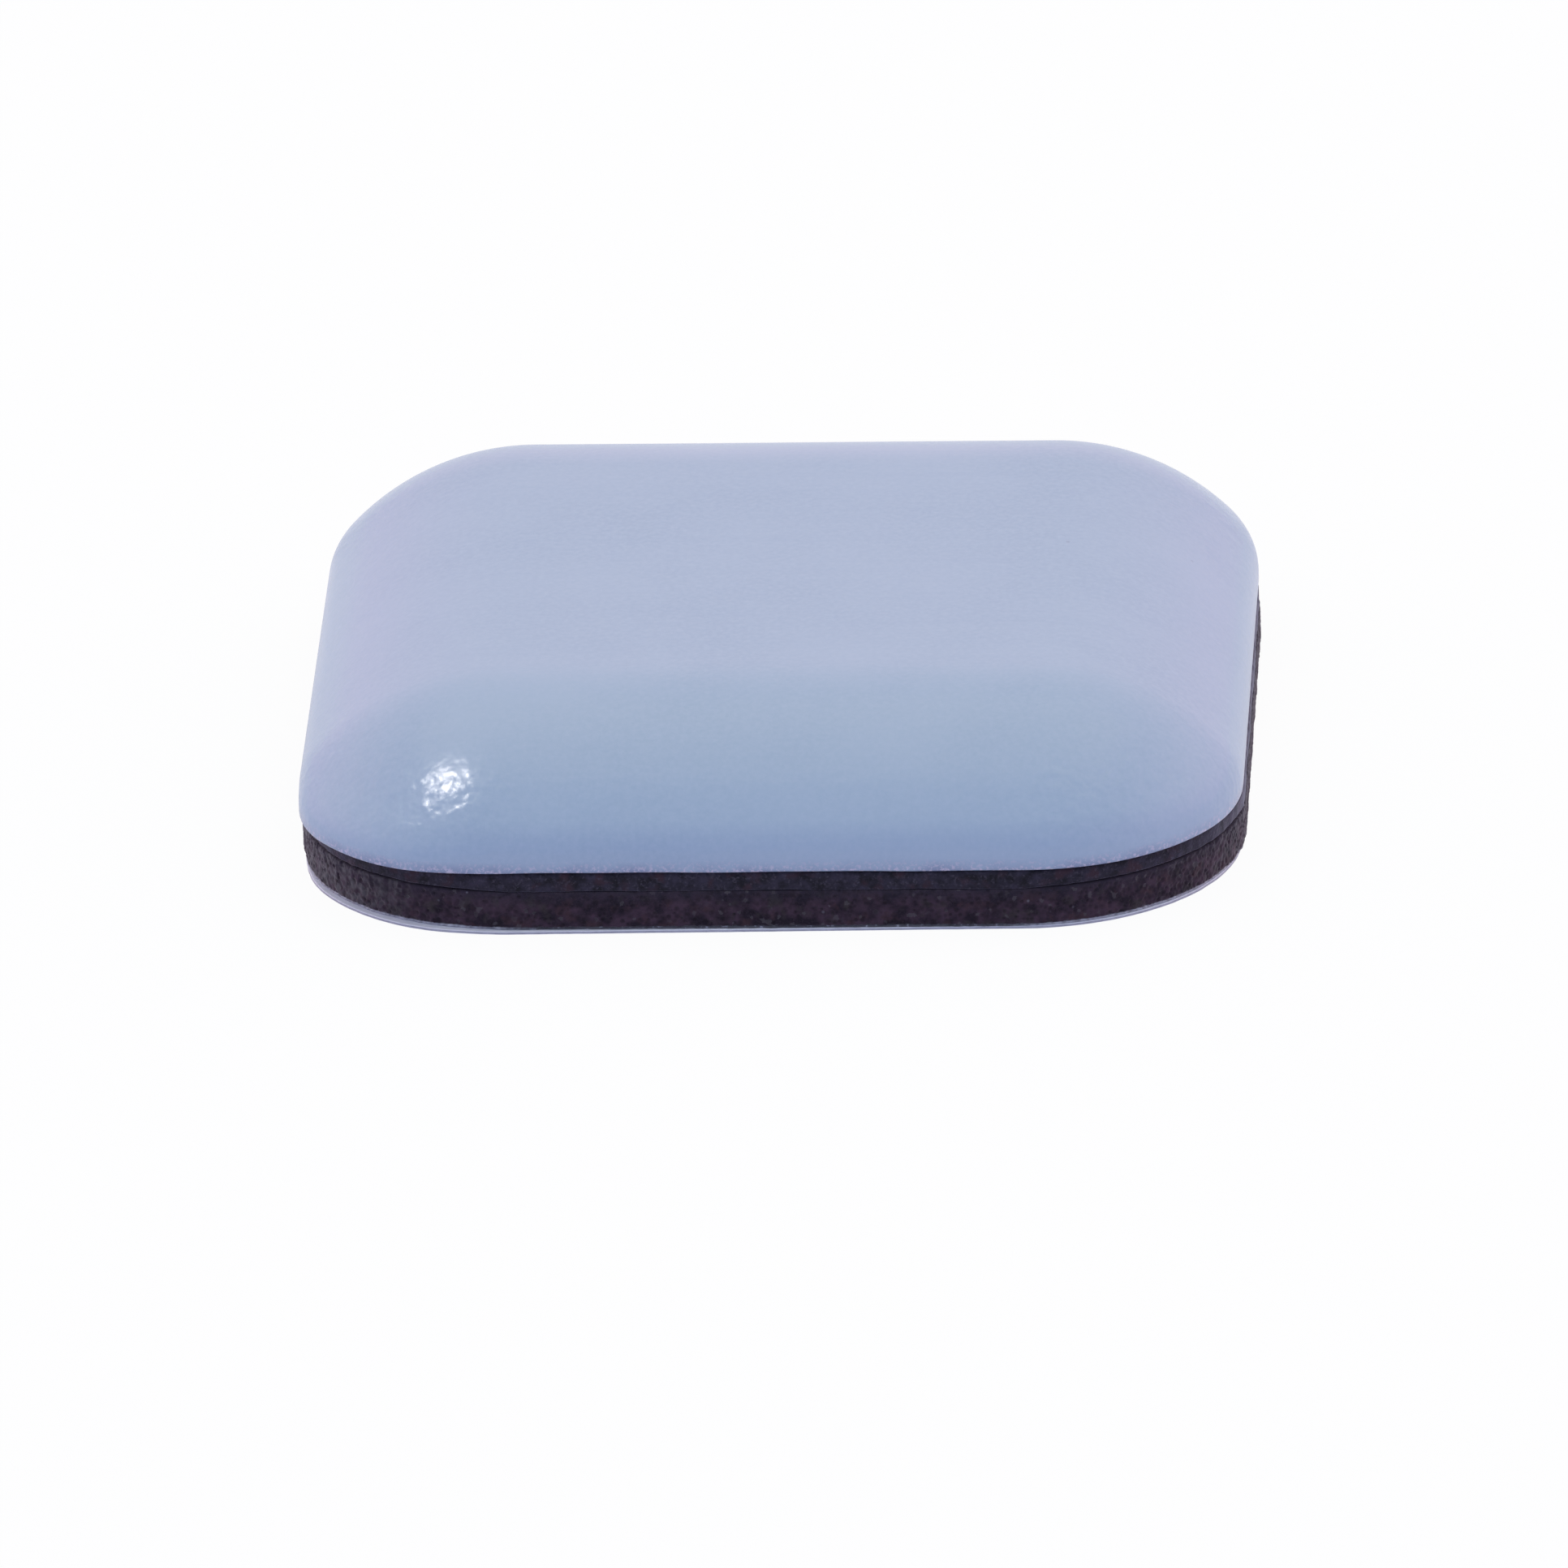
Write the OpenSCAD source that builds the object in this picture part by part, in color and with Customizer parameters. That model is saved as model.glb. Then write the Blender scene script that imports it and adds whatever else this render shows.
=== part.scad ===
// Self-adhesive furniture slider: a formed low-friction cap bonded over a rubber core, on a foam pad
// that carries the mounting adhesive and its release liner.
// It stands on the liner with the glide face up. Lengths are in millimetres, the origin is the centre
// of the liner's underside, and +Z points out of the glide face.

/* [Cap] */
// Width of the cap across its rim
cap_w = 25; // [18:0.5:60]
// Depth of the cap across its rim
cap_d = 25; // [18:0.5:60]
// Corner radius of the cap in plan, and the distance from the rim to where the crown goes flat
cap_corner_r = 5.5; // [4.5:0.1:8]
// Height of the cap from the foot of its rim to its flat crown
cap_h = 3.65; // [3.1:0.05:4.4]
// Straight height of the rim below the shoulder
rim_h = 0.3; // [0.2:0.05:0.5]
// Radius of the shoulder above the rim
shoulder_r = 1.6; // [1.2:0.1:2]
// Thickness of the formed cap wall
cap_wall = 0.9; // [0.5:0.05:1]
// Edge break at the foot of the rim
rim_break = 0.1; // [0.05:0.01:0.15]

/* [Core] */
// Thickness of the flange that carries the cap's rim
flange_t = 0.45; // [0.3:0.05:1.5]
// Edge radius of the flange
flange_edge_r = 0.12; // [0.05:0.01:0.14]
// Setback of the flange and the pad from the cap's rim, on each side
base_setback = 0.02; // [0.01:0.01:0.5]
// Corner radius of the flange and the pad in plan
base_corner_r = 6; // [5:0.1:7]

/* [Pad] */
// Thickness of the foam pad
pad_t = 1; // [0.5:0.05:4]

/* [Adhesive films] */
// Thickness of the domed film between cap and core
cap_bond_t = 0.1; // [0.05:0.01:0.15]
// Thickness of the film between flange and pad
pad_bond_t = 0.06; // [0.03:0.01:0.2]
// Setback of that film from the pad's edge, which leaves the parting groove
pad_bond_setback = 0.15; // [0.05:0.05:1]
// Thickness of the mounting film under the pad
mount_film_t = 0.08; // [0.05:0.01:0.3]

/* [Release liner] */
// Thickness of the liner
liner_t = 0.08; // [0.05:0.01:0.3]
// Reach of the liner past the pad on each side
liner_lip = 0.12; // [0.02:0.02:1]
// Corner radius of the liner in plan
liner_corner_r = 5.6; // [3:0.1:8]

/* [Hidden] */
$fn = 96;
// How far a cut runs past the face that it opens
overrun = 1;
// Heights of the stack, from the surface that the liner lies on
film_z = liner_t;
pad_z = film_z + mount_film_t;
bond_z = pad_z + pad_t;
flange_z = bond_z + pad_bond_t;
cap_z = flange_z + flange_t;
// Plan of the flange and the pad
base_w = cap_w - 2 * base_setback;
base_d = cap_d - 2 * base_setback;
// Section of the crown, measured from the axis of a plan corner. The shoulder arc runs into a crown arc
// that is centred on that axis and ends level, so the crown's corners are parts of a sphere. The crown
// radius is a whole number of steps, and the shoulder is lifted by the little that keeps the arcs tangent.
radius_step = 0.001;
crown_rise = cap_h - rim_h;
corner_run = cap_corner_r - shoulder_r;
crown_fit_r = (corner_run ^ 2 + crown_rise ^ 2 - shoulder_r ^ 2) / (2 * (crown_rise - shoulder_r));
crown_r = radius_step * round(crown_fit_r / radius_step);
arcs_apart = crown_r - shoulder_r;
shoulder_lift = cap_h - crown_r + sqrt(arcs_apart ^ 2 - corner_run ^ 2) - rim_h;

// Rounded rectangle, centred
module plan(w, d, r) {
    square([w - 2 * r, d], center = true);
    square([w, d - 2 * r], center = true);
    for (x = [-1, 1], y = [-1, 1])
        translate([x * (w / 2 - r), y * (d / 2 - r)])
            circle(r);
}

// Flat layer of one thickness
module layer(w, d, r, t) {
    linear_extrude(t) plan(w, d, r);
}

// Solid of a half-section carried round a rounded rectangle: a block in the middle, a straight run along
// each side and a turned piece in each corner. The child draws the half-section from a corner axis outwards.
module carried_round(w, d, r, low, high) {
    run_w = w - 2 * r;
    run_d = d - 2 * r;
    translate([-run_w / 2, -run_d / 2, low])
        cube([run_w, run_d, high - low]);
    for (x = [0, 1], y = [0, 1])
        mirror([x, 0, 0])
            mirror([0, y, 0])
                translate([run_w / 2, run_d / 2, 0])
                    rotate_extrude(angle = 90)
                        children();
    for (side = [0, 1]) {
        mirror([side, 0, 0])
            translate([run_w / 2, run_d / 2, 0])
                rotate([90, 0, 0])
                    linear_extrude(run_d)
                        children();
        mirror([0, side, 0])
            translate([-run_w / 2, run_d / 2, 0])
                rotate([90, 0, 90])
                    linear_extrude(run_w)
                        children();
    }
}

// Half-section of the crown. inset moves its surface inwards by one wall thickness, foot is the height of
// its lower edge, and edge_break cuts the foot's outer corner.
module crown_half(inset, foot, edge_break) {
    rim_x = cap_corner_r - inset;
    rim_foot = foot + edge_break;
    meet_x = (crown_r - inset) * corner_run / arcs_apart;
    intersection() {
        translate([0, cap_h - crown_r]) circle(crown_r - inset);
        translate([0, foot]) square([meet_x, cap_h - foot]);
    }
    intersection() {
        translate([corner_run, rim_h])
            translate([0, shoulder_lift])
                circle(shoulder_r - inset);
        translate([0, rim_foot]) square([cap_corner_r, cap_h - rim_foot]);
    }
    polygon([[0, foot], [rim_x - edge_break, foot], [rim_x, rim_foot], [rim_x, rim_h], [0, rim_h]]);
}

// Solid crown, with its surface moved inwards by inset
module crown(inset, foot, edge_break = 0) {
    carried_round(cap_w, cap_d, cap_corner_r, foot, cap_h - inset)
        crown_half(inset, foot, edge_break);
}

// Shell between two insets of the crown, open below
module crown_shell(outer, inner, edge_break = 0) {
    difference() {
        crown(outer, 0, edge_break);
        crown(inner, -overrun);
    }
}

// Formed glide cap
module ptfe_cap() {
    color([0.69, 0.73, 0.83])
        translate([0, 0, cap_z])
            crown_shell(0, cap_wall, rim_break);
}

// Adhesive film that lines the cap
module cap_bond() {
    color([0.85, 0.85, 0.78])
        translate([0, 0, cap_z])
            crown_shell(cap_wall, cap_wall + cap_bond_t);
}

// Half-section of the flange, with rounded edges
module flange_half() {
    square([base_corner_r - flange_edge_r, flange_t]);
    translate([0, flange_edge_r]) square([base_corner_r, flange_t - 2 * flange_edge_r]);
    for (z = [flange_edge_r, flange_t - flange_edge_r])
        translate([base_corner_r - flange_edge_r, z])
            circle(flange_edge_r);
}

// Moulded core: a boss that fills the cap, on the flange that shows below the rim
module rubber_core() {
    color([0.18, 0.17, 0.23]) {
        translate([0, 0, cap_z])
            crown(cap_wall + cap_bond_t, -flange_t / 2);
        translate([0, 0, flange_z])
            carried_round(base_w, base_d, base_corner_r, 0, flange_t)
                flange_half();
    }
}

// Adhesive film between the flange and the pad
module pad_bond() {
    color([0.05, 0.05, 0.06])
        translate([0, 0, bond_z])
            layer(
                base_w - 2 * pad_bond_setback,
                base_d - 2 * pad_bond_setback,
                base_corner_r - pad_bond_setback,
                pad_bond_t
            );
}

// Die-cut foam pad
module foam_pad() {
    color([0.15, 0.13, 0.16])
        translate([0, 0, pad_z])
            layer(base_w, base_d, base_corner_r, pad_t);
}

// Pressure-sensitive film that holds the slider to the furniture
module mounting_adhesive() {
    color([0.8, 0.8, 0.78, 0.6])
        translate([0, 0, film_z])
            layer(base_w, base_d, base_corner_r, mount_film_t);
}

// Sheet that is peeled off before use
module release_liner() {
    color([0.86, 0.88, 0.93])
        layer(base_w + 2 * liner_lip, base_d + 2 * liner_lip, liner_corner_r, liner_t);
}

ptfe_cap();
cap_bond();
rubber_core();
pad_bond();
foam_pad();
mounting_adhesive();
release_liner();
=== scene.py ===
"""Furniture slider: the visual model, in metres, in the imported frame."""
import math

import bmesh
import bpy
import numpy as np
from mathutils import Matrix, Vector


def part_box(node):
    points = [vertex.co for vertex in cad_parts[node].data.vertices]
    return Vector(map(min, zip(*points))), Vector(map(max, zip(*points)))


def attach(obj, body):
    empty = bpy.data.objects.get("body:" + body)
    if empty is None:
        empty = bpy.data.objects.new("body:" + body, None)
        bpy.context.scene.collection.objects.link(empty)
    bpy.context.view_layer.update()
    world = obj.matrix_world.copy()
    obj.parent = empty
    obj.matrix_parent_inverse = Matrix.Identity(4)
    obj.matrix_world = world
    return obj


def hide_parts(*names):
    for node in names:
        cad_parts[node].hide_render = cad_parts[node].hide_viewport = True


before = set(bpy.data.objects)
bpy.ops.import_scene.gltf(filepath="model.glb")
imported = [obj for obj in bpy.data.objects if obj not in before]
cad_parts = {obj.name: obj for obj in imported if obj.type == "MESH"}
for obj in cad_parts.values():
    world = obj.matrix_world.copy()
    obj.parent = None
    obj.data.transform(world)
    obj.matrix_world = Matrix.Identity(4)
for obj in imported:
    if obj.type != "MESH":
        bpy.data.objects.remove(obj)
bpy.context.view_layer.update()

MM = 0.001
UM = 0.000001
SEED = 7
rng = np.random.default_rng(SEED)


def half_and_heights(node):
    """Half the width of a node's box, and the heights of its foot and its top."""
    low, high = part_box(node)
    return high[0], low[2], high[2]


# Sizes of the solids that their boxes give
CAP_HALF, CAP_FOOT, CAP_TOP = half_and_heights("ptfe_cap")
BASE_HALF, PAD_FOOT, PAD_TOP = half_and_heights("foam_pad")
FLANGE_FOOT = half_and_heights("rubber_core")[1]
FILM_FOOT, FILM_TOP = half_and_heights("mounting_adhesive")[1:]
LINER_HALF, LINER_FOOT, LINER_TOP = half_and_heights("release_liner")

# Sizes of the solids that their boxes don't give
CAP_CORNER_R = 5.5 * MM
RIM_H = 0.3 * MM
SHOULDER_R = 1.6 * MM
CAP_WALL = 0.9 * MM
RIM_BREAK = 0.1 * MM
BOSS_INSET = 1.0 * MM
BASE_CORNER_R = 6.0 * MM
FLANGE_T = 0.45 * MM
FLANGE_EDGE_R = 0.12 * MM
BOND_SETBACK = 0.15 * MM

# The photographed sample is fuller at the front left corner of each layer. The pull starts at a reach along
# the plan's diagonal, ends at a height over the cap's foot, and fades in and out.
FRONT_LEFT = np.array([-1.0, -1.0]) / math.sqrt(2)
PULL_FROM = 14.0 * MM
PULL_HEIGHT = 1.6 * MM
PULL_FADE = 1.3 * MM
CAP_CORNER_PULL = 0.30 * MM
BASE_CORNER_PULL = 0.13 * MM
LINER_CORNER_PULL = 0.15 * MM
# The left and right sides of its cap and its base stand out a little
CAP_LEFT_PUSH = 0.05 * MM
CAP_RIGHT_PUSH = 0.04 * MM
BASE_LEFT_PUSH = 0.03 * MM
BASE_RIGHT_PUSH = 0.085 * MM


# Camera

# The photograph's camera, in its frame of pixels
PHOTO_SIZE = 1932
FOCAL_PX = 38420.0
CAMERA_DISTANCE = 0.835
AZIMUTH = math.radians(3.12)
ELEVATION = math.radians(23.11)
ROLL = math.radians(-1.66)
TARGET = Vector((0.0, 0.0, 0.13 * MM))
TARGET_PX = (966.5, 913.0)
SENSOR = 36.0
CLIP_NEAR = 0.01
CLIP_FAR = 5.0


def camera_pose():
    """The camera's place and turn, which put the target at its pixel of the photograph."""
    back = Vector((
        math.sin(AZIMUTH) * math.cos(ELEVATION),
        -math.cos(AZIMUTH) * math.cos(ELEVATION),
        math.sin(ELEVATION),
    ))
    level = Vector((math.cos(AZIMUTH), math.sin(AZIMUTH), 0.0))
    upright = back.cross(level)
    across = math.cos(ROLL) * level + math.sin(ROLL) * upright
    down = math.sin(ROLL) * level - math.cos(ROLL) * upright
    place = TARGET + back * CAMERA_DISTANCE
    pixel = CAMERA_DISTANCE / FOCAL_PX
    middle = PHOTO_SIZE / 2
    aim = TARGET + across * ((middle - TARGET_PX[0]) * pixel) + down * ((middle - TARGET_PX[1]) * pixel)
    z_axis = (place - aim).normalized()
    x_axis = (across - z_axis * across.dot(z_axis)).normalized()
    y_axis = z_axis.cross(x_axis)
    turn = Matrix((x_axis, y_axis, z_axis)).transposed()
    return Matrix.Translation(place) @ turn.to_4x4()


def make_camera():
    data = bpy.data.cameras.new("camera")
    data.sensor_fit = "HORIZONTAL"
    data.sensor_width = SENSOR
    data.lens = SENSOR * FOCAL_PX / PHOTO_SIZE
    data.clip_start = CLIP_NEAR
    data.clip_end = CLIP_FAR
    camera = bpy.data.objects.new("camera", data)
    camera.matrix_world = camera_pose()
    bpy.context.scene.collection.objects.link(camera)
    bpy.context.scene.camera = camera


# Mesh building

SIDES = 4
# Points that lie this close together are one
WELD = 0.1 * UM
# The coarse rings that close an end start this far inside the wall
END_INSET = 0.35 * MM
END_RINGS = 5
# Waves in a random field, and the spread of their widths
FIELD_WAVES = 24
FIELD_SPREAD = (0.6, 1.4)


def ring_size(side_cuts, corner_cuts):
    """Number of points in a ring."""
    return SIDES * (side_cuts + corner_cuts)


def ring(run, reach, z, side_cuts, corner_cuts):
    """Rounded square, counter-clockwise: straight sides of half-length run, corners of radius reach."""
    along = np.linspace(-run, run, side_cuts + 1)[:-1]
    turn = np.linspace(0.0, math.pi / 2, corner_cuts + 1)[:-1]
    side = np.column_stack([np.full(side_cuts, run + reach), along])
    corner = np.column_stack([run + reach * np.cos(turn), run + reach * np.sin(turn)])
    quarter = np.concatenate([side, corner])
    turns = []
    for k in range(SIDES):
        c, s = round(math.cos(k * math.pi / 2)), round(math.sin(k * math.pi / 2))
        turns.append(quarter @ np.array([[c, s], [-s, c]], dtype=float))
    flat = np.concatenate(turns)
    return np.column_stack([flat, np.full(len(flat), z)])


def ring_distance(points, half, radius):
    """How far the points lie outside a rounded square in plan, negative inside it."""
    past = np.abs(points[:, :2]) - (half - radius)
    outside = np.hypot(*np.maximum(past, 0.0).T)
    return outside + np.minimum(past.max(axis=1), 0.0) - radius


def quarter_round(run, reach, z, radius, start, stop, cuts):
    """Rows round an edge whose arc is centred at reach - radius, z, between two angles from outwards."""
    rows = []
    for t in np.radians(np.linspace(start, stop, cuts)):
        rows.append((run, reach - radius + radius * math.cos(t), z + radius * math.sin(t)))
    return rows


def loft_faces(first, count, rows):
    """Quads between consecutive rings of count points, of which the first starts at index first."""
    here = first + np.arange(count)
    after = first + (np.arange(count) + 1) % count
    faces = []
    for row in range(rows - 1):
        low, high = row * count, (row + 1) * count
        faces.append(np.column_stack([here + low, after + low, after + high, here + high]))
    return np.concatenate(faces).tolist()


def reduce_faces(fine_start, coarse_start, coarse_count, finer):
    """Faces between a fine ring and a coarse one with one point to each finer points."""
    fine_count = coarse_count * finer
    faces = []
    for i in range(coarse_count):
        here, after = coarse_start + i, coarse_start + (i + 1) % coarse_count
        for j in range(finer):
            a = fine_start + i * finer + j
            b = fine_start + (i * finer + j + 1) % fine_count
            faces.append([a, b, here])
        faces.append([fine_start + (i * finer + finer) % fine_count, after, here])
    return faces


def add_square(points, faces, run, z, cuts):
    """Adds the level square inside a ring whose corners have shrunk to points."""
    start = sum(len(part) for part in points)
    line = np.linspace(-run, run, cuts + 1)
    x, y = np.meshgrid(line, line)
    points.append(np.column_stack([x.ravel(), y.ravel(), np.full(x.size, z)]))
    for j in range(cuts):
        for i in range(cuts):
            a = start + j * (cuts + 1) + i
            faces.append([a, a + 1, a + cuts + 2, a + cuts + 1])


def lofted_body(rows, side_cuts, corner_cuts):
    """Points and faces of a closed body from rows of (run, reach, z), both ends shrunk to squares."""
    rings = [ring(*row, side_cuts, corner_cuts) for row in rows]
    points = [np.concatenate(rings)]
    faces = loft_faces(0, len(rings[0]), len(rings))
    for run, _, z in (rows[0], rows[-1]):
        add_square(points, faces, run, z, side_cuts)
    return np.concatenate(points), faces


def fine_walled_body(wall, run, side_cuts, corner_cuts, finer):
    """Points and faces of a closed body with a wall of fine rings, and ends of coarse rings and a square."""
    rows, count = wall.shape[:2]
    points = [wall.reshape(-1, 3)]
    faces = loft_faces(0, count, rows)
    for row in (0, rows - 1):
        z = wall[row, 0, 2]
        reaches = np.linspace(BASE_CORNER_R - END_INSET, 0.0, END_RINGS)
        coarse = [ring(run, reach, z, side_cuts, corner_cuts) for reach in reaches]
        start = sum(len(part) for part in points)
        faces += reduce_faces(row * count, start, len(coarse[0]), finer)
        faces += loft_faces(start, len(coarse[0]), len(coarse))
        points += coarse
        add_square(points, faces, run, z, side_cuts)
    return np.concatenate(points), faces


def make_object(name, points, faces, body, node):
    """Welded, outward-facing smooth mesh that stands for a node."""
    mesh = bpy.data.meshes.new(name)
    mesh.from_pydata([tuple(p) for p in points], [], faces)
    bm = bmesh.new()
    bm.from_mesh(mesh)
    bmesh.ops.remove_doubles(bm, verts=bm.verts, dist=WELD)
    bmesh.ops.recalc_face_normals(bm, faces=bm.faces)
    bm.to_mesh(mesh)
    bm.free()
    mesh.polygons.foreach_set("use_smooth", np.ones(len(mesh.polygons), dtype=bool))
    mesh.update()
    piece = bpy.data.objects.new(name, mesh)
    bpy.context.scene.collection.objects.link(piece)
    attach(piece, body)
    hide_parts(node)
    return piece


def uneven(points, size):
    """Smooth random field over the points, mostly within -1 to 1, with swells about size across."""
    ways = rng.normal(size=(FIELD_WAVES, 3))
    ways /= np.linalg.norm(ways, axis=1)[:, None]
    ways *= (math.pi / size * rng.uniform(*FIELD_SPREAD, FIELD_WAVES))[:, None]
    phases = rng.uniform(0.0, 2 * math.pi, FIELD_WAVES)
    return np.cos(points @ ways.T + phases).sum(axis=1) / math.sqrt(FIELD_WAVES)


def varied(points, size, share):
    """Random factor over the points that is about 1, varies by about share and lies within 0 to 2."""
    return np.clip(1 + share * uneven(points, size), 0.0, 2.0)


def ease(amount):
    """Smooth step of amounts that are clipped to 0 to 1."""
    share = np.clip(amount, 0.0, 1.0)
    return share ** 2 * (3 - 2 * share)


def as_found(points, corner_pull, left_push=0.0, right_push=0.0):
    """Moves the points in plan as the photographed sample differs from its nominal plan."""
    fuller = ease((points[:, :2] @ FRONT_LEFT - PULL_FROM) / PULL_FADE)
    fuller *= ease((CAP_FOOT + PULL_HEIGHT - points[:, 2]) / PULL_FADE)
    points[:, :2] += corner_pull * fuller[:, None] * FRONT_LEFT
    right = right_push * ease(points[:, 0] / BASE_HALF)
    left = left_push * ease(-points[:, 0] / BASE_HALF)
    points[:, 0] += right - left


# Cap

CAP_SIDE_CUTS = 56
CAP_CORNER_CUTS = 28
RIM_ROWS = 5
SHOULDER_ROWS = 13
CROWN_ROWS = 22
BREAK_ROWS = 6
# The formed sheet is never quite flat outside
SAG = 12 * UM
SAG_SWELL = 5 * MM
SAG_SHARE = 0.5
# Its trimmed foot is never quite straight, up to a share of the cap's height
LIFT = 12 * UM
LIFT_SWELL = 1.5 * MM
LIFT_SHARE = 0.7
FOOT_SHARE = 0.125


def crown_arcs(inset, foot, run):
    """Rows of the crown's section from foot up to its flat top, moved inwards by inset."""
    rise = CAP_TOP - CAP_FOOT - RIM_H
    rim_top = CAP_FOOT + RIM_H
    corner_run = CAP_CORNER_R - SHOULDER_R
    crown_r = (corner_run ** 2 + rise ** 2 - SHOULDER_R ** 2) / (2 * (rise - SHOULDER_R))
    meet = math.asin(corner_run / (crown_r - SHOULDER_R))
    rows = [(run, CAP_CORNER_R - inset, z) for z in np.linspace(foot, rim_top, RIM_ROWS)[:-1]]
    arc = SHOULDER_R - inset
    for t in np.linspace(math.pi / 2, meet, SHOULDER_ROWS):
        rows.append((run, corner_run + arc * math.sin(t), rim_top + arc * math.cos(t)))
    arc = crown_r - inset
    for t in np.linspace(meet, 0.0, CROWN_ROWS)[1:]:
        rows.append((run, arc * math.sin(t), CAP_TOP - crown_r + arc * math.cos(t)))
    return rows


def cap_outside(total, inner_rows, rows):
    """1 for each of the cap's points, and 0 for those of its inner wall and of the ceiling inside."""
    count = ring_size(CAP_SIDE_CUTS, CAP_CORNER_CUTS)
    outside = np.ones(total)
    outside[:count * inner_rows] = 0.0
    ceiling = count * rows
    outside[ceiling:ceiling + (CAP_SIDE_CUTS + 1) ** 2] = 0.0
    return outside


def make_cap():
    run = CAP_HALF - CAP_CORNER_R
    inner = crown_arcs(CAP_WALL, CAP_FOOT, run)[::-1]
    edge = quarter_round(run, CAP_CORNER_R, CAP_FOOT + RIM_BREAK, RIM_BREAK, -90, 0, BREAK_ROWS)
    outer = crown_arcs(0.0, CAP_FOOT + RIM_BREAK, run)[1:]
    rows = inner + edge + outer
    points, faces = lofted_body(rows, CAP_SIDE_CUTS, CAP_CORNER_CUTS)
    high = np.clip((points[:, 2] - CAP_FOOT) / (CAP_TOP - CAP_FOOT), 0.0, 1.0)
    sag = varied(points, SAG_SWELL, SAG_SHARE) * high * cap_outside(len(points), len(inner), len(rows))
    lift = varied(points, LIFT_SWELL, LIFT_SHARE) * np.clip(1 - high / FOOT_SHARE, 0.0, 1.0)
    points[:, 2] += LIFT * lift - SAG * sag
    as_found(points, CAP_CORNER_PULL, CAP_LEFT_PUSH, CAP_RIGHT_PUSH)
    return make_object("glide_cap", points, faces, "slider", "ptfe_cap")


# Core

CORE_SIDE_CUTS = 144
CORE_CORNER_CUTS = 96
UNDERSIDE_ROWS = 8
FLASH_ROWS = 5
FLANGE_ROWS = 7
# The moulded edge is a little lumpy: heights and widths of its lumps, how far it stands back, and its band
LUMPS = ((10 * UM, 0.2 * MM), (9 * UM, 2.0 * MM))
LUMP_BACK = 8 * UM
LUMP_BAND = 4 * MM
LUMP_SLACK = 1 * UM
# Flash along the flange's lower edge is thickest along the middle of each side and thinnest in the corners
FLASH_EDGE_R = 0.04 * MM
FLASH_DEPTH = 54 * UM
FLASH_END = 9 * MM
FLASH_FADE = 3 * MM
FLASH_CORNER_SHARE = 0.2
FLASH_MIDDLE_SHARE = 0.7
FLASH_UNEVEN_SHARE = 0.3
FLASH_SWELL = 0.9 * MM


def make_lumpy(points, top):
    """Moves the points of the flange's edge, up to its top, in and out a little."""
    reach = np.abs(points[:, :2]).max(axis=1)
    edge = (points[:, 2] < top + LUMP_SLACK) & (reach > BASE_HALF - LUMP_BAND)
    swell = sum(height * uneven(points[edge], width) for height, width in LUMPS) - LUMP_BACK
    points[edge, :2] *= (1 + swell / BASE_HALF)[:, None]


def add_flash(points):
    """Draws the flange's lower edge down into flash, which closes the parting gap in places."""
    outer = ring_distance(points, BASE_HALF, BASE_CORNER_R) > -BOND_SETBACK
    flash = outer & (points[:, 2] < FLANGE_FOOT + FLANGE_EDGE_R)
    plan = points[flash] * (1, 1, 0)
    middle = ease((FLASH_END - np.abs(plan[:, :2]).min(axis=1)) / FLASH_FADE)
    thick = FLASH_CORNER_SHARE + FLASH_MIDDLE_SHARE * middle
    thick += FLASH_UNEVEN_SHARE * uneven(plan, FLASH_SWELL)
    points[flash, 2] -= FLASH_DEPTH * np.clip(thick, 0.0, 1.0)


def make_core():
    run = BASE_HALF - BASE_CORNER_R
    top = FLANGE_FOOT + FLANGE_T
    reaches = np.linspace(0.0, BASE_CORNER_R - BOND_SETBACK, UNDERSIDE_ROWS)
    bottom = [(run, reach, FLANGE_FOOT) for reach in reaches]
    under = quarter_round(run, BASE_CORNER_R, FLANGE_FOOT + FLASH_EDGE_R, FLASH_EDGE_R, -90, 0, FLASH_ROWS)
    over = quarter_round(run, BASE_CORNER_R, top - FLANGE_EDGE_R, FLANGE_EDGE_R, 0, 90, FLANGE_ROWS)
    boss = crown_arcs(BOSS_INSET, top, CAP_HALF - CAP_CORNER_R)
    points, faces = lofted_body(bottom + under + over + boss, CORE_SIDE_CUTS, CORE_CORNER_CUTS)
    make_lumpy(points, top)
    add_flash(points)
    as_found(points, BASE_CORNER_PULL, BASE_LEFT_PUSH, BASE_RIGHT_PUSH)
    return make_object("core_flange", points, faces, "slider", "rubber_core")


# Foam pad

# Divisions of its coarse rings, and the points of the wall to each point of a coarse ring
FOAM_SIDE_CUTS = 62
FOAM_CORNER_CUTS = 44
FOAM_FINER = 8
FOAM_ROWS = 36
# Cells that the cut has opened: their spacing, and how far they stray from it as a share
CELL_STEP = 0.125 * MM
CELL_STRAY_SHARE = 0.36
CELL_STAGGER_SHARE = 0.5
CELL_SIZES_MM = (0.05, 0.11)
CELL_DEPTH = 0.045 * MM
CELL_DEPTH_SHARES = (0.3, 1.0)
CELL_DEPTH_POWER = 1.6
CELL_BOWL_POWER = 0.7
# The wall swells in and out, and stands out a little
WALL_SWELL = 8 * UM
WALL_SWELL_SIZE = 0.5 * MM
WALL_OUT = 15 * UM
# The skin at its top and bottom edges is crushed by the cutting die
CRUSH_DEPTH = 14 * UM
CRUSH_BAND = 0.07 * MM


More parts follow.
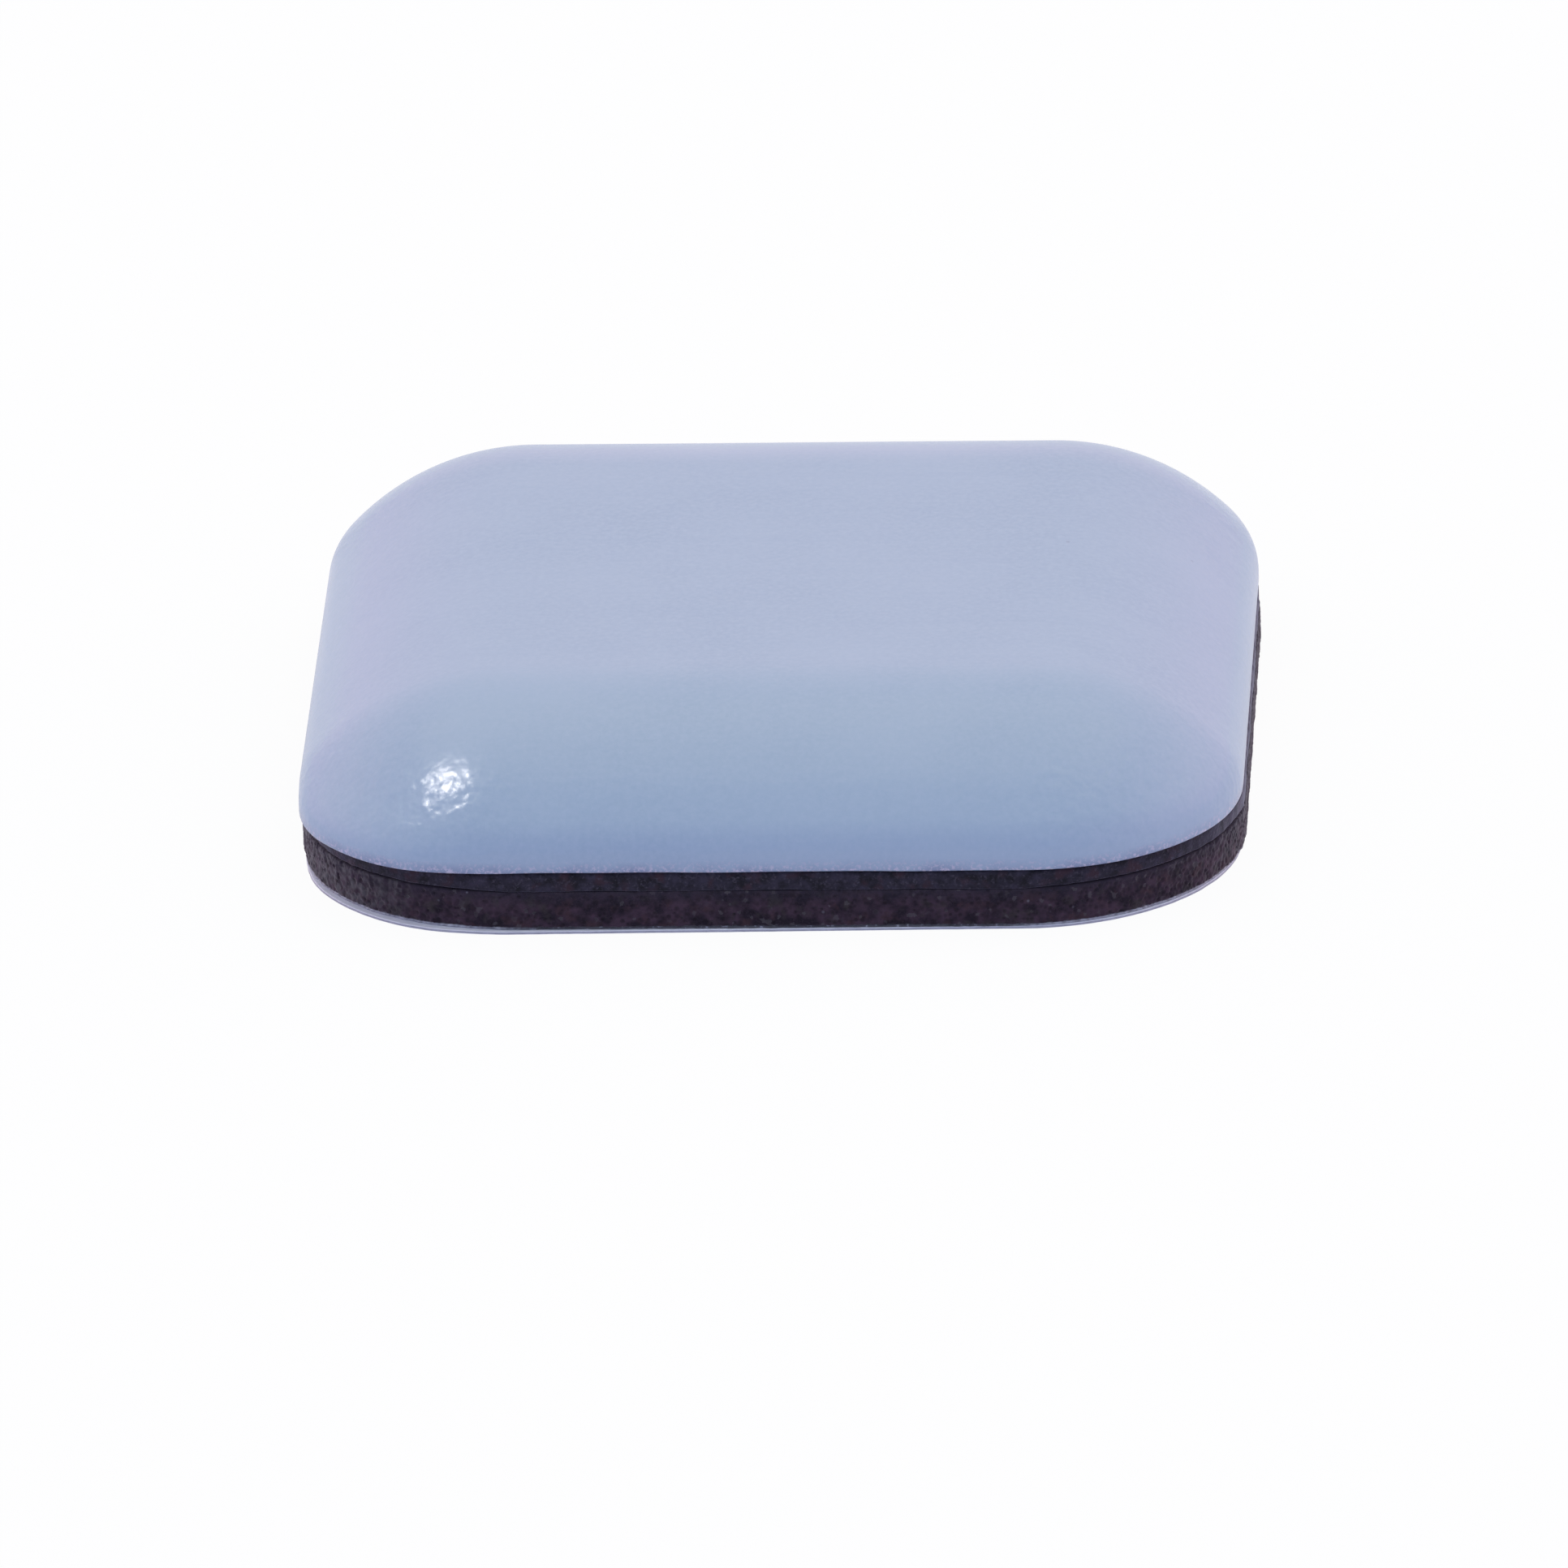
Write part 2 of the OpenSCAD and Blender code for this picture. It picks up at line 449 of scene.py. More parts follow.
def foam_cells(rows, count, pitch, pitch_z):
    """Depth and tone of the cut-open cells on the foam's wall, as (rows, count) fields."""
    depth = np.zeros((rows, count))
    tone = np.zeros((rows, count))
    nearest = np.full((rows, count), np.inf)
    across, up = int(count * pitch / CELL_STEP), int(rows * pitch_z / CELL_STEP) + 2
    stray = CELL_STRAY_SHARE
    for j in range(-1, up):
        for i in range(across):
            s = (i + CELL_STAGGER_SHARE * (j % 2) + rng.uniform(-stray, stray)) * CELL_STEP
            z = (j + rng.uniform(-stray, stray)) * CELL_STEP
            size = rng.uniform(*CELL_SIZES_MM) * MM
            deep = rng.uniform(*CELL_DEPTH_SHARES) ** CELL_DEPTH_POWER * CELL_DEPTH
            shade = rng.random()
            mid_i, mid_j = int(round(s / pitch)), int(round(z / pitch_z))
            span_i, span_j = int(size / pitch) + 1, int(size / pitch_z) + 1
            high = np.arange(max(mid_j - span_j, 0), min(mid_j + span_j + 1, rows))
            if len(high) == 0:
                continue
            wide = np.arange(mid_i - span_i, mid_i + span_i + 1)
            far = np.hypot((wide * pitch - s)[None, :], (high * pitch_z - z)[:, None]) / size
            bowl = deep * np.clip(1 - far ** 2, 0.0, 1.0) ** CELL_BOWL_POWER
            spot = np.ix_(high, wide % count)
            tone[spot] = np.where(far < nearest[spot], shade, tone[spot])
            nearest[spot] = np.minimum(nearest[spot], far)
            depth[spot] = np.maximum(depth[spot], bowl)
    return depth, tone


def inward_ways(outline):
    """Unit vectors that point inwards in plan from the points of a counter-clockwise ring."""
    along = np.roll(outline, -1, axis=0)[:, :2] - np.roll(outline, 1, axis=0)[:, :2]
    inward = np.column_stack([-along[:, 1], along[:, 0]])
    return inward / np.linalg.norm(inward, axis=1)[:, None]


def foam_wall(run):
    """Rings of the foam's cut wall, and the depth and tone of the cells at their points."""
    heights = np.linspace(PAD_FOOT, PAD_TOP, FOAM_ROWS + 1)
    cuts = FOAM_SIDE_CUTS * FOAM_FINER, FOAM_CORNER_CUTS * FOAM_FINER
    wall = np.stack([ring(run, BASE_CORNER_R, z, *cuts) for z in heights])
    rows, count = wall.shape[:2]
    pitch = (2 * SIDES * run + 2 * math.pi * BASE_CORNER_R) / count
    depth, tone = foam_cells(rows, count, pitch, (PAD_TOP - PAD_FOOT) / FOAM_ROWS)
    swell = WALL_SWELL * uneven(wall.reshape(-1, 3), WALL_SWELL_SIZE).reshape(rows, count) + WALL_OUT
    from_edge = np.minimum(heights - PAD_FOOT, PAD_TOP - heights)
    crush = CRUSH_DEPTH * np.clip(1 - from_edge / CRUSH_BAND, 0.0, 1.0) ** 2
    wall[..., :2] += inward_ways(wall[0]) * (depth - swell + crush[:, None])[..., None]
    return wall, depth, tone


def paint_cells(piece, wall, depth, tone):
    """Keeps the depth and tone of the cell at each point of the wall on the mesh."""
    mesh = piece.data
    places = np.empty(len(mesh.vertices) * 3)
    mesh.vertices.foreach_get("co", places)
    places = places.reshape(-1, 3)
    # Welding keeps the wall's points first and in order
    assert np.allclose(places[:len(wall)], wall, atol=1 * UM)
    for name, field in (("cell_depth", depth / depth.max()), ("cell_tone", tone)):
        values = np.zeros(len(places))
        values[:len(wall)] = field.ravel()
        made = mesh.attributes.new(name, "FLOAT", "POINT")
        made.data.foreach_set("value", values)


def make_foam():
    run = BASE_HALF - BASE_CORNER_R
    wall, depth, tone = foam_wall(run)
    points, faces = fine_walled_body(wall, run, FOAM_SIDE_CUTS, FOAM_CORNER_CUTS, FOAM_FINER)
    as_found(points, BASE_CORNER_PULL, BASE_LEFT_PUSH, BASE_RIGHT_PUSH)
    piece = make_object("foam_ring", points, faces, "slider", "foam_pad")
    paint_cells(piece, points[:depth.size], depth, tone)
    return piece


# Mounting film

FILM_SIDE_CUTS = 40
FILM_CORNER_CUTS = 30
FILM_FINER = 6
# Its edge is widest at this height over its foot, and round above and below it
BELLY_H = 30 * UM
LOWER_ROWS = 4
UPPER_ROWS = 5
# The edge has oozed unevenly, smoothed over this many points
OOZE = 20 * UM
OOZE_SPAN = 9


def ooze_back(count):
    """How far the film's edge stands back from its full outline, round a ring of count points."""
    rough = rng.normal(0.0, 1.0, count)
    window = np.hanning(OOZE_SPAN)
    smooth = np.convolve(np.tile(rough, 3), window / window.sum(), mode="same")[count:2 * count]
    return OOZE * (1 - np.clip(smooth, -1.0, 1.0))


def make_film():
    run = BASE_HALF - BASE_CORNER_R
    belly = FILM_FOOT + BELLY_H
    lower = quarter_round(run, BASE_CORNER_R, belly, BELLY_H, -90, 0, LOWER_ROWS)
    upper = quarter_round(run, BASE_CORNER_R, belly, FILM_TOP - belly, 0, 90, UPPER_ROWS)[1:]
    cuts = FILM_SIDE_CUTS * FILM_FINER, FILM_CORNER_CUTS * FILM_FINER
    wall = np.stack([ring(*row, *cuts) for row in lower + upper])
    wall[..., :2] *= (1 - ooze_back(ring_size(*cuts)) / BASE_HALF)[:, None]
    points, faces = fine_walled_body(wall, run, FILM_SIDE_CUTS, FILM_CORNER_CUTS, FILM_FINER)
    as_found(points, BASE_CORNER_PULL, BASE_LEFT_PUSH, BASE_RIGHT_PUSH)
    return make_object("mount_film", points, faces, "slider", "mounting_adhesive")


# Release liner

# Cut and laid a little askew, as the photograph shows it
LINER_SIDE = 24.9 * MM
LINER_CORNER_R = 5.7 * MM
LINER_TURN = math.radians(0.65)
LINER_SHIFT = (-0.06 * MM, -0.06 * MM)
LINER_SIDE_CUTS = 96
LINER_CORNER_CUTS = 72
LINER_EDGE_ROWS = 4
LINER_BEVEL = 12 * UM
# How far inside its edge the rings of its faces lie
LINER_INSETS = (LINER_CORNER_R, 3.0 * MM, 0.5 * MM, 0.05 * MM, LINER_BEVEL)
# Its edge is slightly frayed
FRAY = 4 * UM
FRAY_SIZE = 0.25 * MM


def liner_rows():
    """Rows of (inset, z) from the middle of the liner's underside round its cut edge to that of its top."""
    under = [(inset, LINER_FOOT) for inset in LINER_INSETS]
    heights = np.linspace(LINER_FOOT + LINER_BEVEL, LINER_TOP - LINER_BEVEL, LINER_EDGE_ROWS)
    edge = [(0.0, z) for z in heights]
    over = [(inset, LINER_TOP) for inset in LINER_INSETS[::-1]]
    return under + edge + over


def make_liner():
    run = LINER_SIDE / 2 - LINER_CORNER_R
    rows = [(run, LINER_CORNER_R - inset, z) for inset, z in liner_rows()]
    points, faces = lofted_body(rows, LINER_SIDE_CUTS, LINER_CORNER_CUTS)
    c, s = math.cos(LINER_TURN), math.sin(LINER_TURN)
    points[:, :2] = points[:, :2] @ np.array([[c, s], [-s, c]]) + np.array(LINER_SHIFT)
    points[:, :2] *= (1 + FRAY * uneven(points, FRAY_SIZE) / LINER_HALF)[:, None]
    as_found(points, LINER_CORNER_PULL)
    piece = make_object("liner_sheet", points, faces, "liner", "release_liner")
    return piece


# Nodes of the materials

UNSTRETCHED = (1.0, 1.0, 1.0)
# Span that holds nearly all values of a noise
NOISE_SPAN = (0.3, 0.7)
# Height of a unit normal on a surface that counts as leaning, and on one that counts as level
LEANING_Z = 0.78
LEVEL_Z = 0.97
# Where the plan's corners start and are full, from its middle lines, and what the sides have of them
CORNER_START = 6.0 * MM
CORNER_FULL = 7.8 * MM
CORNER_SIDE_SHARE = 0.4
# Share of a speck's radius in which it is solid, and the span of chances that leaves out some of the specks
SPECK_SOLID_SHARE = 0.4
SPECK_CHANCES = (0.45, 0.95)
BLOOM_ROUGHNESS = 0.42


def new_material(name):
    material = bpy.data.materials.new(name)
    material.use_nodes = True
    tree = material.node_tree
    return material, tree, tree.nodes["Principled BSDF"]


def set_values(node, **values):
    """Sets inputs of a node by their names, with an underscore for each space."""
    for name, value in values.items():
        node.inputs[name.replace("_", " ")].default_value = value


def add(tree, kind, **values):
    made = tree.nodes.new(kind)
    set_values(made, **values)
    return made


def coordinates(tree, stretch=UNSTRETCHED):
    source = add(tree, "ShaderNodeTexCoord").outputs["Object"]
    if stretch == UNSTRETCHED:
        return source
    made = add(tree, "ShaderNodeMapping", Scale=stretch)
    tree.links.new(source, made.inputs["Vector"])
    return made.outputs["Vector"]


def parts_of(tree, vector):
    """The outputs X, Y and Z of a vector."""
    made = add(tree, "ShaderNodeSeparateXYZ")
    tree.links.new(vector, made.inputs["Vector"])
    return made.outputs


def reach_along(tree, vector, way):
    """How far a vector reaches along a way."""
    made = add(tree, "ShaderNodeVectorMath")
    made.operation = "DOT_PRODUCT"
    made.inputs[1].default_value = Vector(way).normalized()
    tree.links.new(vector, made.inputs[0])
    return made.outputs["Value"]


def calculate(tree, operation, *values):
    """Result of a sum on sockets and numbers."""
    made = add(tree, "ShaderNodeMath")
    made.operation = operation
    for place, value in zip(made.inputs, values):
        if isinstance(value, bpy.types.NodeSocket):
            tree.links.new(value, place)
        else:
            place.default_value = value
    return made.outputs["Value"]


def times(tree, first, second):
    return calculate(tree, "MULTIPLY", first, second)


def ramp(tree, factor, low, high, from_low=0.0, from_high=1.0):
    """The factor between from_low and from_high as a value between low and high, clamped."""
    made = add(tree, "ShaderNodeMapRange", From_Min=from_low, From_Max=from_high, To_Min=low, To_Max=high)
    made.clamp = True
    tree.links.new(factor, made.inputs["Value"])
    return made.outputs["Result"]


def noise(tree, size, detail=2.0, roughness=0.5, stretch=UNSTRETCHED):
    """Noise whose grains are about size metres across."""
    made = add(tree, "ShaderNodeTexNoise", Scale=1.0 / size, Detail=detail, Roughness=roughness)
    tree.links.new(coordinates(tree, stretch), made.inputs["Vector"])
    return made.outputs["Fac"]


def spots(tree, size):
    """Outputs of points about size metres apart: the nearest one's distance in sizes, and its colour."""
    made = add(tree, "ShaderNodeTexVoronoi", Scale=1.0 / size)
    tree.links.new(coordinates(tree), made.inputs["Vector"])
    return made.outputs


def attribute(tree, name):
    made = add(tree, "ShaderNodeAttribute")
    made.attribute_name = name
    return made.outputs["Fac"]


def blend_colours(tree, factor, first, second, how="MIX"):
    """Blend of two colours, each a socket or red, green and blue."""
    made = add(tree, "ShaderNodeMix")
    made.data_type = "RGBA"
    made.blend_type = how
    tree.links.new(factor, made.inputs["Factor"])
    for socket, value in (("A", first), ("B", second)):
        place = [s for s in made.inputs if s.name == socket and s.type == "RGBA"][0]
        if isinstance(value, bpy.types.NodeSocket):
            tree.links.new(value, place)
        else:
            place.default_value = (*value, 1.0)
    return [s for s in made.outputs if s.type == "RGBA"][0]


def tinted(tree, colour, tint, factor, start, full, share=1.0):
    """The colour, which turns into the tint by up to share as the factor goes from start to full."""
    return blend_colours(tree, ramp(tree, factor, 0.0, share, start, full), colour, tint)


def bump(tree, height, distance, before=None):
    made = add(tree, "ShaderNodeBump", Strength=1.0, Distance=distance)
    tree.links.new(height, made.inputs["Height"])
    if before is not None:
        tree.links.new(before, made.inputs["Normal"])
    return made.outputs["Normal"]


def slope(tree):
    """0 on level faces, rising to 1 where the surface leans."""
    normal = add(tree, "ShaderNodeNewGeometry").outputs["Normal"]
    return ramp(tree, parts_of(tree, normal)["Z"], 1.0, 0.0, LEANING_Z, LEVEL_Z)


def corners(tree):
    """1 in the plan's rounded corners, falling to a small part along the sides."""
    place = parts_of(tree, coordinates(tree))
    sizes = [calculate(tree, "ABSOLUTE", place[axis]) for axis in ("X", "Y")]
    nearer = calculate(tree, "MINIMUM", *sizes)
    return ramp(tree, nearer, CORNER_SIDE_SHARE, 1.0, CORNER_START, CORNER_FULL)


def dusted(tree, colour, dust, spacing, radius):
    """The colour with small irregular pale specks, on some of the points that lie about spacing apart."""
    specks = spots(tree, spacing)
    edge = radius / spacing
    near = ramp(tree, specks["Distance"], 1.0, 0.0, SPECK_SOLID_SHARE * edge, edge)
    chance = add(tree, "ShaderNodeSeparateColor")
    tree.links.new(specks["Color"], chance.inputs["Color"])
    shown = times(tree, near, ramp(tree, chance.outputs["Red"], 0.0, 1.0, *SPECK_CHANCES))
    return blend_colours(tree, shown, colour, dust)


def bloom(shader, weight, tint):
    """The pale haze of a rubbery surface that is seen at a low angle."""
    set_values(shader, Sheen_Weight=weight, Sheen_Roughness=BLOOM_ROUGHNESS, Sheen_Tint=(*tint, 1.0))


def surface(tree, shader, colour, roughness, normal):
    """Gives the shader its colour, roughness and normal."""
    for name, value in (("Base Color", colour), ("Roughness", roughness), ("Normal", normal)):
        tree.links.new(value, shader.inputs[name])


# Materials

CAP_BLUE = (0.311, 0.396, 0.528)
CAP_PALE_BLUE = (0.341, 0.425, 0.556)
CAP_GRAIN = (0.363, 0.442, 0.574)
CAP_SKIVED = (0.268, 0.364, 0.502)
# Painted shade: a darker band just above the cap's foot
CAP_FOOT_SHADE = (0.205, 0.228, 0.360)
# Painted highlight: pale specks where the cap's lower edge catches light
CAP_FOOT_HIGHLIGHT = (0.52, 0.47, 0.60)
CAP_SPECK = (0.16, 0.17, 0.22)
CAP_SCATTER = (0.5, 0.6, 0.8)
# The marks that the sheet was skived with run along X
SKIVE_STRETCH = (0.03, 1.0, 1.0)
# Just over the trimmed edge at its foot the cap has painted shade, a darker band, and a painted highlight of
# pale specks where its lower edge catches light. Each fades out over a band of heights above the foot, and
# grows over a span of a noise.
FOOT_SHADE_BAND = (0.02 * MM, 0.38 * MM)
FOOT_SHADE_SPAN = (0.35, 0.65)
FOOT_SHADE_SHARES = (0.2, 0.9)
FOOT_HIGHLIGHT_BAND = (0.08 * MM, 0.40 * MM)
FOOT_HIGHLIGHT_SPAN = (0.50, 0.64)
FOOT_HIGHLIGHT_SHARE = 0.9
# Roughness of its level crown, and of its shoulders
CAP_ROUGHNESS = (0.27, 0.2)

RUBBER_BLACK = (0.005, 0.004, 0.009)
RUBBER_GREY = (0.032, 0.027, 0.046)
RUBBER_WARM = (0.036, 0.017, 0.026)
RUBBER_PEBBLE = (0.060, 0.052, 0.074)
RUBBER_DUST = (0.18, 0.17, 0.22)
RUBBER_BLOOM = (0.84, 0.79, 1.0)
RUBBER_ROUGHNESS = (0.55, 0.8)

FOAM_BLACK = (0.014, 0.0085, 0.017)
FOAM_GREY = (0.054, 0.030, 0.049)
FOAM_OLIVE = (0.036, 0.029, 0.031)
FOAM_RED = (0.048, 0.024, 0.032)
FOAM_SKIN = (0.022, 0.0185, 0.032)
FOAM_SKIN_H = 0.4 * MM
# Painted shade in the hollows of the cut-open cells
FOAM_CELL_SHADE = (0.012, 0.008, 0.012)
FOAM_GRAIN = (0.062, 0.047, 0.062)
# Painted reflection: the pale glint off the walls of a few cells
FOAM_CELL_GLINT = (0.085, 0.075, 0.085)
FOAM_DUST = (0.22, 0.21, 0.26)
FOAM_BLOOM = (0.80, 0.75, 0.80)
FOAM_ROUGHNESS = (0.75, 0.95)
# Its front left corner is scuffed: the way to it, reaches where scuffs start and are full, and their noise
SCUFF = (0.098, 0.090, 0.100)
SCUFF_WAY = (-0.91, -0.41, 0.0)
SCUFF_START = 13.2 * MM
SCUFF_FULL = 14.5 * MM
SCUFF_SPAN = (0.40, 0.68)
SCUFF_SHARE = 0.95

FILM_DARK = (0.030, 0.026, 0.032)
FILM_GREY = (0.060, 0.055, 0.068)
FILM_MILKY = (0.27, 0.27, 0.33)
FILM_ROUGHNESS = (0.25, 0.45)
# At the corners it has come away a little from the liner and is milky throughout
FILM_LIFTED = (0.40, 0.40, 0.47)
LIFTED_SIDE_SHARE = 0.1
LIFTED_LEAST_SHARE = 0.5
LIFTED_SPAN = (0.35, 0.6)

LINER_FACE = (0.65, 0.65, 0.75)
LINER_PALE_FACE = (0.76, 0.76, 0.86)
# The cut edge's colours are darker than the faces': partly the paper's own edge colour and partly painted
# shade
LINER_SHADED_CUT = (0.33, 0.32, 0.39)
LINER_PALE_SHADED_CUT = (0.50, 0.48, 0.57)
LINER_ROUGHNESS = (0.35, 0.5)
# The paper's fibres run along X
FIBRE_STRETCH = (0.35, 1.0, 1.0)

CONTACT_GLUE = (0.50, 0.48, 0.38)
PALE_CONTACT_GLUE = (0.62, 0.60, 0.50)
BLACK_GLUE = (0.006, 0.005, 0.007)
GREY_GLUE = (0.014, 0.012, 0.016)
GLUE_ROUGHNESS = (0.35, 0.6)


def fading_up(tree, most, band):
    """A share that falls from most to nothing over a band of heights above the cap's foot."""
    height = parts_of(tree, coordinates(tree))["Z"]
    return ramp(tree, height, most, 0.0, CAP_FOOT + band[0], CAP_FOOT + band[1])


def cap_foot_colour(tree, colour):
    """The cap's colour with painted shade and a painted highlight of pale specks just over its trimmed foot.
    """
    # Painted shade: darker just above the foot
    foot_shade = ramp(tree, noise(tree, size=1.2 * MM, detail=3.0), *FOOT_SHADE_SHARES, *FOOT_SHADE_SPAN)
    colour = blend_colours(tree, times(tree, fading_up(tree, 1.0, FOOT_SHADE_BAND), foot_shade), colour, CAP_FOOT_SHADE)
    # Painted highlight: pale specks where the lower edge catches light
    foot_highlight = ramp(tree, noise(tree, size=0.1 * MM, roughness=0.6), 0.0, 1.0, *FOOT_HIGHLIGHT_SPAN)
    return blend_colours(tree, times(tree, fading_up(tree, FOOT_HIGHLIGHT_SHARE, FOOT_HIGHLIGHT_BAND), foot_highlight), colour, CAP_FOOT_HIGHLIGHT)


def cap_material():
    material, tree, shader = new_material("satin_fluoropolymer")
    cloud = noise(tree, size=5 * MM, detail=3.0)
    colour = tinted(tree, CAP_BLUE, CAP_PALE_BLUE, cloud, *NOISE_SPAN)
    grain = noise(tree, size=0.16 * MM, detail=4.0, roughness=0.6)
    colour = tinted(tree, colour, CAP_GRAIN, grain, start=0.35, full=0.75, share=0.8)
    skive = noise(tree, size=0.5 * MM, detail=3.0, stretch=SKIVE_STRETCH)
    colour = tinted(tree, colour, CAP_SKIVED, skive, start=0.5, full=0.72, share=0.09)
    colour = cap_foot_colour(tree, colour)
    specks = spots(tree, size=2.6 * MM)
    colour = tinted(tree, colour, CAP_SPECK, specks["Distance"], start=0.03, full=0.012, share=0.35)
    # Drawing the sheet over the core stretches its shoulders, which are glossier, and pebbles its corners
    drawn = slope(tree)
    roughness = ramp(tree, drawn, *CAP_ROUGHNESS)
    pebbles = times(tree, noise(tree, size=0.35 * MM, detail=1.3), times(tree, drawn, corners(tree)))
    normal = bump(tree, pebbles, distance=28 * UM, before=bump(tree, grain, distance=2 * UM))
    surface(tree, shader, colour, roughness, normal)
    set_values(shader, IOR=1.38, Subsurface_Weight=0.12)
    set_values(shader, Subsurface_Radius=CAP_SCATTER, Subsurface_Scale=0.6 * MM)
    return material


def rubber_material():
    material, tree, shader = new_material("moulded_rubber")
    cloud = noise(tree, size=0.34 * MM, detail=4.0, roughness=0.62)
    colour = tinted(tree, RUBBER_BLACK, RUBBER_GREY, cloud, start=0.36, full=0.66)
    warm = noise(tree, size=0.5 * MM)
    colour = tinted(tree, colour, RUBBER_WARM, warm, start=0.54, full=0.68, share=0.8)
    pebble = noise(tree, size=0.09 * MM, detail=3.0, roughness=0.6)
    colour = tinted(tree, colour, RUBBER_PEBBLE, pebble, start=0.54, full=0.74, share=0.8)
    colour = dusted(tree, colour, RUBBER_DUST, spacing=0.55 * MM, radius=0.05 * MM)
    roughness = ramp(tree, cloud, *RUBBER_ROUGHNESS, *NOISE_SPAN)
    surface(tree, shader, colour, roughness, bump(tree, pebble, distance=14 * UM))
    set_values(shader, Specular_IOR_Level=0.13)
    bloom(shader, weight=0.44, tint=RUBBER_BLOOM)
    return material


def foam_cloud_colour(tree):
    """The foam's mottled body, with olive and red patches and a plainer skin under its top."""
    cloud = noise(tree, size=0.42 * MM, detail=3.0)
    colour = tinted(tree, FOAM_BLACK, FOAM_GREY, cloud, start=0.38, full=0.62)
    patches = noise(tree, size=0.45 * MM)
    colour = tinted(tree, colour, FOAM_OLIVE, patches, start=0.57, full=0.70, share=0.8)
    colour = tinted(tree, colour, FOAM_RED, patches, start=0.43, full=0.30, share=0.8)
    height = parts_of(tree, coordinates(tree))["Z"]
    return tinted(tree, colour, FOAM_SKIN, height, start=PAD_TOP - FOAM_SKIN_H, full=PAD_TOP, share=0.8)


def foam_material():
    material, tree, shader = new_material("closed_cell_foam")
    colour = foam_cloud_colour(tree)
    depth = attribute(tree, "cell_depth")
    # Painted shade: the cut-open cells are darker the deeper they are
    colour = tinted(tree, colour, FOAM_CELL_SHADE, depth, start=0.15, full=0.8, share=0.5)
    grain = noise(tree, size=0.05 * MM, detail=3.0, roughness=0.65)
    colour = tinted(tree, colour, FOAM_GRAIN, grain, start=0.52, full=0.8, share=0.6)
    tone = attribute(tree, "cell_tone")
    # Painted reflection: a few cells, picked at random, are pale with the glint of their walls
    colour = tinted(tree, colour, FOAM_CELL_GLINT, tone, start=0.93, full=0.97, share=0.5)
    colour = dusted(tree, colour, FOAM_DUST, spacing=0.6 * MM, radius=0.06 * MM)
    reach = reach_along(tree, coordinates(tree), SCUFF_WAY)
    corner = ramp(tree, reach, 0.0, 1.0, SCUFF_START, SCUFF_FULL)
    scuffs = ramp(tree, noise(tree, size=0.22 * MM), 0.0, SCUFF_SHARE, *SCUFF_SPAN)
    colour = blend_colours(tree, times(tree, corner, scuffs), colour, SCUFF)
    roughness = ramp(tree, grain, *FOAM_ROUGHNESS, *NOISE_SPAN)
    surface(tree, shader, colour, roughness, bump(tree, grain, distance=6 * UM))
    set_values(shader, Specular_IOR_Level=0.12)
    bloom(shader, weight=0.38, tint=FOAM_BLOOM)
    return material


def film_material():
    material, tree, shader = new_material("tacky_film")
    cloud = noise(tree, size=0.4 * MM, detail=3.0)
    colour = tinted(tree, FILM_DARK, FILM_GREY, cloud, start=0.35, full=0.7)
    milky = noise(tree, size=0.12 * MM, roughness=0.4)
    colour = tinted(tree, colour, FILM_MILKY, milky, start=0.60, full=0.70, share=0.9)
    at_corners = ramp(tree, corners(tree), LIFTED_SIDE_SHARE, 1.0, CORNER_SIDE_SHARE, 1.0)
    lifted = times(tree, at_corners, ramp(tree, milky, LIFTED_LEAST_SHARE, 1.0, *LIFTED_SPAN))
    colour = blend_colours(tree, lifted, colour, FILM_LIFTED)
    roughness = ramp(tree, cloud, *FILM_ROUGHNESS, *NOISE_SPAN)
    surface(tree, shader, colour, roughness, bump(tree, cloud, distance=10 * UM))
    set_values(shader, Specular_IOR_Level=0.25)
    return material


def liner_material():
    material, tree, shader = new_material("coated_paper")
    fibres = noise(tree, size=0.12 * MM, detail=5.0, roughness=0.7, stretch=FIBRE_STRETCH)
    face = tinted(tree, LINER_FACE, LINER_PALE_FACE, fibres, *NOISE_SPAN)
    cut = tinted(tree, LINER_SHADED_CUT, LINER_PALE_SHADED_CUT, fibres, *NOISE_SPAN)
    normal = add(tree, "ShaderNodeNewGeometry").outputs["True Normal"]
    level = calculate(tree, "ABSOLUTE", parts_of(tree, normal)["Z"])
    # The cut edge, which faces sideways, takes the darker colour: partly the paper's edge colour and partly
    # painted shade
    colour = tinted(tree, cut, face, level, start=0.3, full=0.7)
    roughness = ramp(tree, fibres, *LINER_ROUGHNESS, *NOISE_SPAN)
    surface(tree, shader, colour, roughness, bump(tree, fibres, distance=5 * UM))
    set_values(shader, Specular_IOR_Level=0.4)
    return material


def glue_material(name, dark, pale, grain_size):
    """Dried adhesive, for the films that lie between other parts."""
    material, tree, shader = new_material(name)
    cloud = noise(tree, size=grain_size, detail=3.0)
    colour = tinted(tree, dark, pale, cloud, *NOISE_SPAN)
    roughness = ramp(tree, cloud, *GLUE_ROUGHNESS, *NOISE_SPAN)
    surface(tree, shader, colour, roughness, bump(tree, cloud, distance=8 * UM))
    set_values(shader, Specular_IOR_Level=0.25)
    return material


def dress(piece, material):
    piece.data.materials.clear()
    piece.data.materials.append(material)


def dress_node(name, material):
    node = bpy.data.objects[name]
    if not node.material_slots:
        node.data.materials.append(material)
    for place in node.material_slots:
        place.material = material


# Floor, world and lamps

WHITE = (1.0, 1.0, 1.0, 1.0)
FLOOR_HALF = 1.5
FLOOR_DROP = 5 * UM
FLOOR_COLOUR = (0.74, 0.75, 0.84, 1.0)
# How white the floor is where it is seen straight, which keeps a faint shadow, and in a mirror image
FLOOR_SEEN_SHARE = 0.95
FLOOR_MIRRORED_SHARE = 0.45

